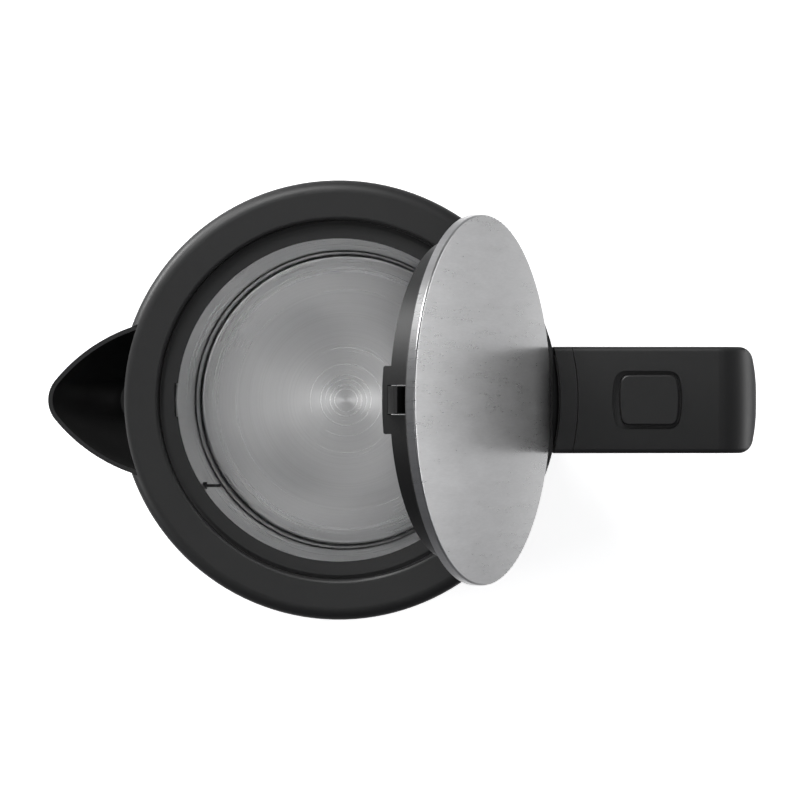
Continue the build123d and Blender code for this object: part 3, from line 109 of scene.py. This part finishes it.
class Shader:
    """A material's node tree with short ways to add to it."""

    def __init__(self, name):
        self.material = bpy.data.materials.new(name)
        self.material.use_nodes = True
        self.tree = self.material.node_tree
        self.surface = self.tree.nodes["Principled BSDF"]
        coords = self.tree.nodes.new("ShaderNodeTexCoord")
        self.place = coords.outputs["Object"]

    def node(self, kind, values=None, **fields):
        made = self.tree.nodes.new(kind)
        for field, value in fields.items():
            setattr(made, field, value)
        for key, value in (values or {}).items():
            if isinstance(value, bpy.types.NodeSocket):
                self.tree.links.new(value, made.inputs[key])
            else:
                made.inputs[key].default_value = value
        return made

    def join(self, source, target):
        self.tree.links.new(source, target)

    def mapped(self, scale, turn):
        made = self.node("ShaderNodeMapping",
                         {"Vector": self.place, "Scale": scale, "Rotation": turn})
        return made.outputs["Vector"]

    def noise(self, place, scale, detail, rough):
        made = self.node("ShaderNodeTexNoise",
                         {"Vector": place, "Scale": scale, "Detail": detail, "Roughness": rough})
        return made.outputs["Fac"]

    def spread(self, value, low, high, from_low=0.3, from_high=0.7):
        made = self.node("ShaderNodeMapRange",
                         {"Value": value, "From Min": from_low, "From Max": from_high,
                          "To Min": low, "To Max": high})
        return made.outputs["Result"]

    def math(self, kind, first, second=0.0):
        made = self.node("ShaderNodeMath", {0: first, 1: second}, operation=kind)
        return made.outputs[0]

    def blend(self, first, second, share):
        """A share of the first value and the rest of the second."""
        return self.math("ADD", self.math("MULTIPLY", first, share),
                         self.math("MULTIPLY", second, 1.0 - share))

    def shades(self, value, dark, light):
        made = self.node("ShaderNodeMix", {"Factor": value}, data_type="RGBA")
        made.inputs["A"].default_value = (*dark, 1.0)
        made.inputs["B"].default_value = (*light, 1.0)
        return made.outputs["Result"]

    def bump(self, height, strength, distance):
        values = {"Height": height, "Strength": strength, "Distance": distance}
        self.join(self.node("ShaderNodeBump", values).outputs["Normal"], self.surface.inputs["Normal"])

    def coloured(self, value, dark, light):
        self.join(self.shades(value, dark, light), self.surface.inputs["Base Color"])

    def roughened(self, value):
        self.join(value, self.surface.inputs["Roughness"])

    def set(self, **values):
        for key, value in values.items():
            self.surface.inputs[key.replace("_", " ")].default_value = value


NARROW = (0.35, 0.65)  # the part of a noise's range that carries most of its pattern
FINE_SHARE = 0.6  # of the fine pattern, against the broad one


def grey_pair(tone, darker, lighter):
    return (tone * darker,) * 3, (tone * lighter,) * 3


def plastic(name, tone, rough, grain, depth, tint=(1.0, 1.0, 1.0)):
    """Moulded plastic with a spark-eroded grain of the given size."""
    cloud_scale = 22.0
    shader = Shader(name)
    fine = shader.noise(shader.place, 1.0 / grain, detail=4.0, rough=0.6)
    cloud = shader.noise(shader.place, cloud_scale, detail=3.0, rough=0.5)
    mixed = shader.blend(fine, cloud, FINE_SHARE)
    shader.coloured(shader.spread(mixed, 0.0, 1.0, *NARROW),
                    [tone * 0.88 * t for t in tint], [tone * 1.12 * t for t in tint])
    shader.roughened(shader.spread(mixed, rough - 0.05, rough + 0.06, *NARROW))
    shader.bump(fine, strength=0.35, distance=depth)
    shader.set(Specular_IOR_Level=0.5)
    return shader.material


def spun_metal(name, tone, rough, anisotropic):
    """Steel spun about the kettle's axis: fine rings, and a highlight drawn out across them."""
    ring_pitch = 0.0006
    ring_depth = 0.00001
    broad_scale = 90.0
    dirt_scale = 35.0
    shader = Shader(name)
    split = shader.node("ShaderNodeSeparateXYZ", {"Vector": shader.place})
    x = split.outputs["X"]
    y = split.outputs["Y"]
    radius = shader.math("SQRT", shader.math("ADD", shader.math("MULTIPLY", x, x),
                                             shader.math("MULTIPLY", y, y)))
    along = shader.node("ShaderNodeCombineXYZ", {"X": radius, "Y": split.outputs["Z"], "Z": 0.0})
    line = shader.noise(along.outputs["Vector"], 1.0 / ring_pitch, detail=5.0, rough=0.7)
    broad = shader.noise(along.outputs["Vector"], broad_scale, detail=2.0, rough=0.5)
    dirt = shader.noise(shader.place, dirt_scale, detail=3.0, rough=0.5)
    mixed = shader.blend(line, broad, FINE_SHARE)
    shader.coloured(shader.spread(mixed, 0.0, 1.0, *NARROW), *grey_pair(tone, 0.9, 1.06))
    shader.roughened(shader.math("ADD", shader.spread(mixed, rough - 0.06, rough + 0.06),
                                 shader.spread(dirt, -0.02, 0.02)))
    shader.bump(line, strength=0.25, distance=ring_depth)
    tangent = shader.node("ShaderNodeTangent", direction_type="RADIAL", axis="Z")
    shader.join(tangent.outputs["Tangent"], shader.surface.inputs["Tangent"])
    shader.set(Metallic=1.0, Anisotropic=anisotropic)
    return shader.material


def brushed_metal(name, tone, rough, turn, along, anisotropic):
    """Sheet metal brushed in the direction given by along."""
    stretch = (25.0, 1600.0, 300.0)  # long strokes, close together
    coarse_stretch = tuple(s * 0.2 for s in stretch)
    stroke_share = 0.55
    cloud_scale = 18.0
    shader = Shader(name)
    line = shader.noise(shader.mapped(stretch, turn), 1.0, detail=5.0, rough=0.65)
    coarse = shader.noise(shader.mapped(coarse_stretch, turn), 1.0, detail=3.0, rough=0.6)
    cloud = shader.noise(shader.place, cloud_scale, detail=2.0, rough=0.5)
    mixed = shader.blend(line, coarse, stroke_share)
    shader.coloured(shader.spread(mixed, 0.0, 1.0, *NARROW), *grey_pair(tone, 0.93, 1.05))
    shader.roughened(shader.math("ADD", shader.spread(mixed, rough - 0.012, rough + 0.012),
                                 shader.spread(cloud, -0.004, 0.004)))
    shader.bump(mixed, strength=0.05, distance=0.00001)
    tangent = shader.node("ShaderNodeVectorTransform", {"Vector": along},
                          vector_type="VECTOR", convert_from="OBJECT", convert_to="WORLD")
    shader.join(tangent.outputs["Vector"], shader.surface.inputs["Tangent"])
    shader.set(Metallic=1.0, Anisotropic=anisotropic, Anisotropic_Rotation=0.0)
    return shader.material


def cast_metal(name, colour, rough, grain, depth):
    """Plain metal with a fine mottled surface."""
    cloud_scale = 60.0
    shader = Shader(name)
    fine = shader.noise(shader.place, 1.0 / grain, detail=4.0, rough=0.6)
    cloud = shader.noise(shader.place, cloud_scale, detail=3.0, rough=0.5)
    mixed = shader.blend(fine, cloud, 0.5)
    shader.coloured(shader.spread(mixed, 0.0, 1.0, *NARROW),
                    [c * 0.86 for c in colour], [min(c * 1.08, 1.0) for c in colour])
    shader.roughened(shader.spread(mixed, rough - 0.06, rough + 0.08))
    shader.bump(fine, strength=0.3, distance=depth)
    shader.set(Metallic=1.0)
    return shader.material


def rubber(name, tone, rough):
    """Matte silicone or rubber with a faint bloom."""
    fine_scale = 2600.0
    cloud_scale = 120.0
    fine_depth = 0.00004
    shader = Shader(name)
    fine = shader.noise(shader.place, fine_scale, detail=3.0, rough=0.6)
    cloud = shader.noise(shader.place, cloud_scale, detail=4.0, rough=0.6)
    shader.coloured(shader.spread(cloud, 0.0, 1.0), *grey_pair(tone, 0.8, 1.25))
    shader.roughened(shader.spread(fine, rough - 0.06, rough + 0.06))
    shader.bump(fine, strength=0.25, distance=fine_depth)
    shader.set(Specular_IOR_Level=0.35, Sheen_Weight=0.1)
    return shader.material


body_black = plastic("body_black", 0.020, 0.50, 0.00045, 0.00005)
collar_black = plastic("collar_black", 0.020, 0.44, 0.00040, 0.00005)
handle_black = plastic("handle_black", 0.020, 0.46, 0.00042, 0.00005)
smooth_black = plastic("smooth_black", 0.015, 0.36, 0.0009, 0.00002)
button_black = plastic("button_black", 0.020, 0.38, 0.0006, 0.00003)
lid_black = plastic("lid_black", 0.014, 0.40, 0.0006, 0.00003)
grey = plastic("grey_plastic", 0.26, 0.42, 0.0008, 0.00003, tint=(1.0, 1.0, 1.03))
mark_black = plastic("mark_black", 0.012, 0.5, 0.0008, 0.00002)
pot_steel = spun_metal("pot_steel", 0.60, 0.30, anisotropic=0.75)
filter_steel = spun_metal("filter_steel", 0.60, 0.30, anisotropic=0.3)
lid_steel = brushed_metal("lid_steel", 0.58, 0.28, LID_TURN, LID_ALONG, anisotropic=0.5)
plain_steel = cast_metal("plain_steel", (0.60, 0.60, 0.62), 0.28, 0.0009, 0.00001)
aluminium = cast_metal("aluminium", (0.42, 0.42, 0.43), 0.42, 0.0006, 0.00005)
brass = cast_metal("brass", (0.74, 0.58, 0.30), 0.32, 0.0009, 0.00001)
silicone = rubber("silicone", 0.06, 0.62)
foot_rubber = rubber("foot_rubber", 0.03, 0.75)

WEAR = {
    body_black: ["outer_shell", "base_cap", "base_top_cover"],
    collar_black: ["top_collar"],
    handle_black: ["handle_bracket", "handle_outer_shell", "handle_inner_cover"],
    smooth_black: ["spout", "base_bottom_cover", "cord_gland", "power_switch", "base_connector"],
    button_black: ["lid_button"],
    lid_black: ["lid_plug", "latch_slide"],
    mark_black: ["max_level_tab"],
    grey: ["control_body", "release_guide", "release_slide", "steam_switch"],
    pot_steel: ["inner_pot"],
    filter_steel: ["spout_filter", "lid_inner_cover"],
    lid_steel: ["lid_cap"],
    plain_steel: ["hinge_pin", "switch_pin", "lid_springs", "latch_spring", "button_springs",
                  "base_screws", "base_cap_screws", "control_screws", "handle_screws",
                  "lid_screws"],
    aluminium: ["heating_plate", "heating_element"],
    brass: ["base_contacts", "control_contacts", "bimetal_discs", "steam_bimetal"],
    silicone: ["pot_gasket", "spout_gasket", "lid_seal", "steam_tube"],
    foot_rubber: ["base_feet"],
}
for material, names in WEAR.items():
    for name in names:
        for place in nodes[name].material_slots:
            place.material = material

# ------------------------------------------------------------------ lid's steel skin
# The cap's own shape, with its normals worked out again so that the crown's middle shades evenly.
CREASE = math.radians(30.0)
skin_mesh = nodes["lid_cap"].data.copy()
skin_mesh.name = "lid_skin"
if "custom_normal" in skin_mesh.attributes:
    skin_mesh.attributes.remove(skin_mesh.attributes["custom_normal"])
for face in skin_mesh.polygons:
    face.use_smooth = True
skin_mesh.set_sharp_from_angle(angle=CREASE)
skin = bpy.data.objects.new("lid_skin", skin_mesh)
bpy.context.scene.collection.objects.link(skin)
skin.matrix_world = nodes["lid_cap"].matrix_world.copy()
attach(skin, "lid")
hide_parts("lid_cap")

# ------------------------------------------------------------------ floor
FLOOR_HALF = 6.0
GLOW = 0.80  # painted light: the floor glows round the kettle, washing out its shadow, and fades outside the view
GLOW_R = 0.192
GLOW_FADE_R = 0.27
PAPER_NEAR = (0.92, 0.92, 0.92)
# painted shade: outside the view the floor turns dark grey, a dark surround for the steel to reflect
PAINTED_SHADE_FAR = (0.42, 0.42, 0.43)
mesh = bpy.data.meshes.new("floor")
mesh.from_pydata([(-FLOOR_HALF, -FLOOR_HALF, BASE_Z), (FLOOR_HALF, -FLOOR_HALF, BASE_Z),
                  (FLOOR_HALF, FLOOR_HALF, BASE_Z), (-FLOOR_HALF, FLOOR_HALF, BASE_Z)], [],
                 [(0, 1, 2, 3)])
floor = bpy.data.objects.new("floor", mesh)
bpy.context.scene.collection.objects.link(floor)
paper_and_painted_light = Shader("paper_and_painted_light")
centred = paper_and_painted_light.node("ShaderNodeVectorMath", {0: paper_and_painted_light.place, 1: (CAMERA_X, 0.0, 0.0)},
                     operation="SUBTRACT")
offset = centred.outputs["Vector"]
squared = paper_and_painted_light.node("ShaderNodeVectorMath", {0: offset, 1: offset}, operation="MULTIPLY")
flat = paper_and_painted_light.node("ShaderNodeVectorMath", {0: squared.outputs["Vector"], 1: (1.0, 1.0, 0.0)},
                  operation="MULTIPLY")
pool = paper_and_painted_light.node("ShaderNodeVectorMath", {0: flat.outputs["Vector"]}, operation="LENGTH")
distance = paper_and_painted_light.math("SQRT", pool.outputs["Value"])  # a square pool of painted light with round corners
# painted shade: the floor's colour goes from near-white in the view to dark grey outside it
paper_and_painted_light.coloured(paper_and_painted_light.spread(distance, 0.0, 1.0, GLOW_R, GLOW_FADE_R), PAPER_NEAR, PAINTED_SHADE_FAR)
paper_and_painted_light.set(Roughness=0.9)
paper_and_painted_light.surface.inputs["Emission Color"].default_value = (1.0, 1.0, 1.0, 1.0)
# painted light: emission that is strong round the kettle and fades to nothing outside the view
paper_and_painted_light.join(paper_and_painted_light.spread(distance, GLOW, 0.0, GLOW_R, GLOW_FADE_R),
           paper_and_painted_light.surface.inputs["Emission Strength"])
mesh.materials.append(paper_and_painted_light.material)
